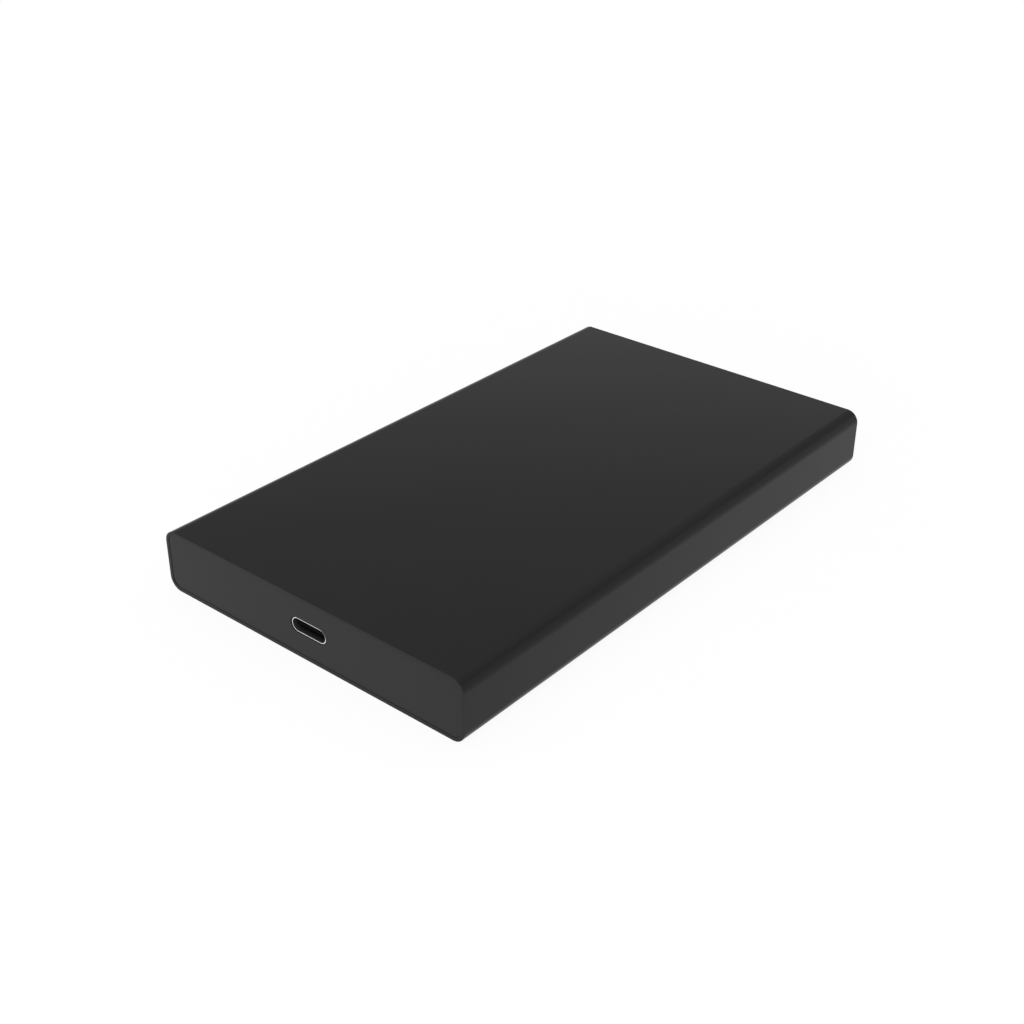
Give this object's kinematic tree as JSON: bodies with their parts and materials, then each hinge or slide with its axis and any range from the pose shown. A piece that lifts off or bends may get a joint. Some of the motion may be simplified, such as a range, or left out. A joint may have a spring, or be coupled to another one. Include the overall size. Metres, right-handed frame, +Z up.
{
  "type": "external solid state drive",
  "caption": "Flat black metal box with rounded long edges and flat ends, which holds a solid state drive behind a round-ended data port in its front plate.",
  "frame": {"origin": "middle of the underside, on the surface it lies on", "axes": "+Z up, -Y out of the front plate with the data port, +X to the right as seen facing the port"},
  "size_m": [0.077, 0.131, 0.0133],
  "materials": {
    "black_case": "satin black anodised",
    "black_screws": "black oxide",
    "plain_screws": "bright zinc",
    "port_steel": "bright drawn steel",
    "black_moulding": "matt black",
    "gilt_contacts": "gilt",
    "boards": "satin green lacquer",
    "chips": "matt black",
    "inductors": "matt grey",
    "capacitors": "matt tan",
    "pads": "soft grey",
    "drive_case": "plain satin"
  },
  "bodies": {
    "root": {"sleeve": "black_case", "front_plate": "black_case", "rear_plate": "black_case", "rear_plate_screws": "black_screws", "front_plate_screws": "black_screws", "drive_screws": "plain_screws", "bridge_board_screws": "plain_screws", "port_shell": "port_steel", "port_shield_plate": "port_steel", "bridge_crystal": "port_steel", "tray": "black_moulding", "port_tongue": "black_moulding", "board_socket": "black_moulding", "drive_plug": "black_moulding", "port_contacts": "gilt_contacts", "board_socket_contacts": "gilt_contacts", "drive_plug_contacts": "gilt_contacts", "bridge_board": "boards", "drive_board": "boards", "bridge_chip": "chips", "firmware_chip": "chips", "controller_chip": "chips", "cache_chip": "chips", "flash_chip_1": "chips", "flash_chip_2": "chips", "flash_chip_3": "chips", "flash_chip_4": "chips", "bridge_inductors": "inductors", "power_inductors": "inductors", "bridge_capacitors": "capacitors", "drive_capacitors": "capacitors", "case_thermal_pad": "pads", "drive_thermal_pads": "pads", "drive_base": "drive_case", "drive_lid": "drive_case"}
  },
  "joints": []
}
